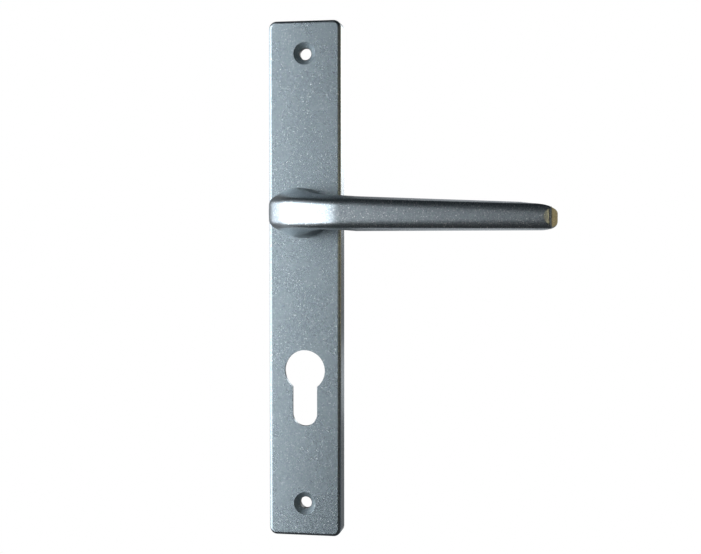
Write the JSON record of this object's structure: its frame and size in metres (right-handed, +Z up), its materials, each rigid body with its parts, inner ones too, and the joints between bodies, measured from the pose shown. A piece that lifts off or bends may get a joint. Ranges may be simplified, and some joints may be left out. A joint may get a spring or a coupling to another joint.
{
  "type": "multipoint door handle",
  "caption": "Sprung lever handle on a long narrow back plate, with a profile cylinder cut-out below the lever.",
  "frame": {"origin": "on the spindle axis, in the plane of the plate's back, which meets the door", "axes": "+Z up along the plate, +X along the lever, -Y out of the door towards the hand"},
  "size_m": [0.1275, 0.059, 0.229],
  "materials": {
    "plate_finish": "satin",
    "lever_finish": "satin",
    "nylon": "matte",
    "driver_steel": "satin",
    "spring_steel": "satin",
    "circlip_steel": "satin",
    "zinc_plate": "satin"
  },
  "bodies": {
    "plate": {"back_plate": "plate_finish", "neck_bush": "nylon", "thrust_washer": "nylon", "return_spring": "spring_steel", "spring_cover": "zinc_plate", "cover_screw_1": "zinc_plate", "cover_screw_2": "zinc_plate", "cover_screw_3": "zinc_plate", "cover_screw_4": "zinc_plate"},
    "lever": {"lever": "lever_finish", "spring_driver": "driver_steel", "circlip": "circlip_steel"}
  },
  "joints": [
    {"name": "lever_turn", "type": "hinge", "parent": "plate", "child": "lever", "pos_m": [0, 0, 0], "axis": [0, 1, 0], "range_deg": [-45, 45], "stiffness_Nm_per_rad": 1, "springref_deg": -2.86, "deforming": ["return_spring"]}
  ]
}
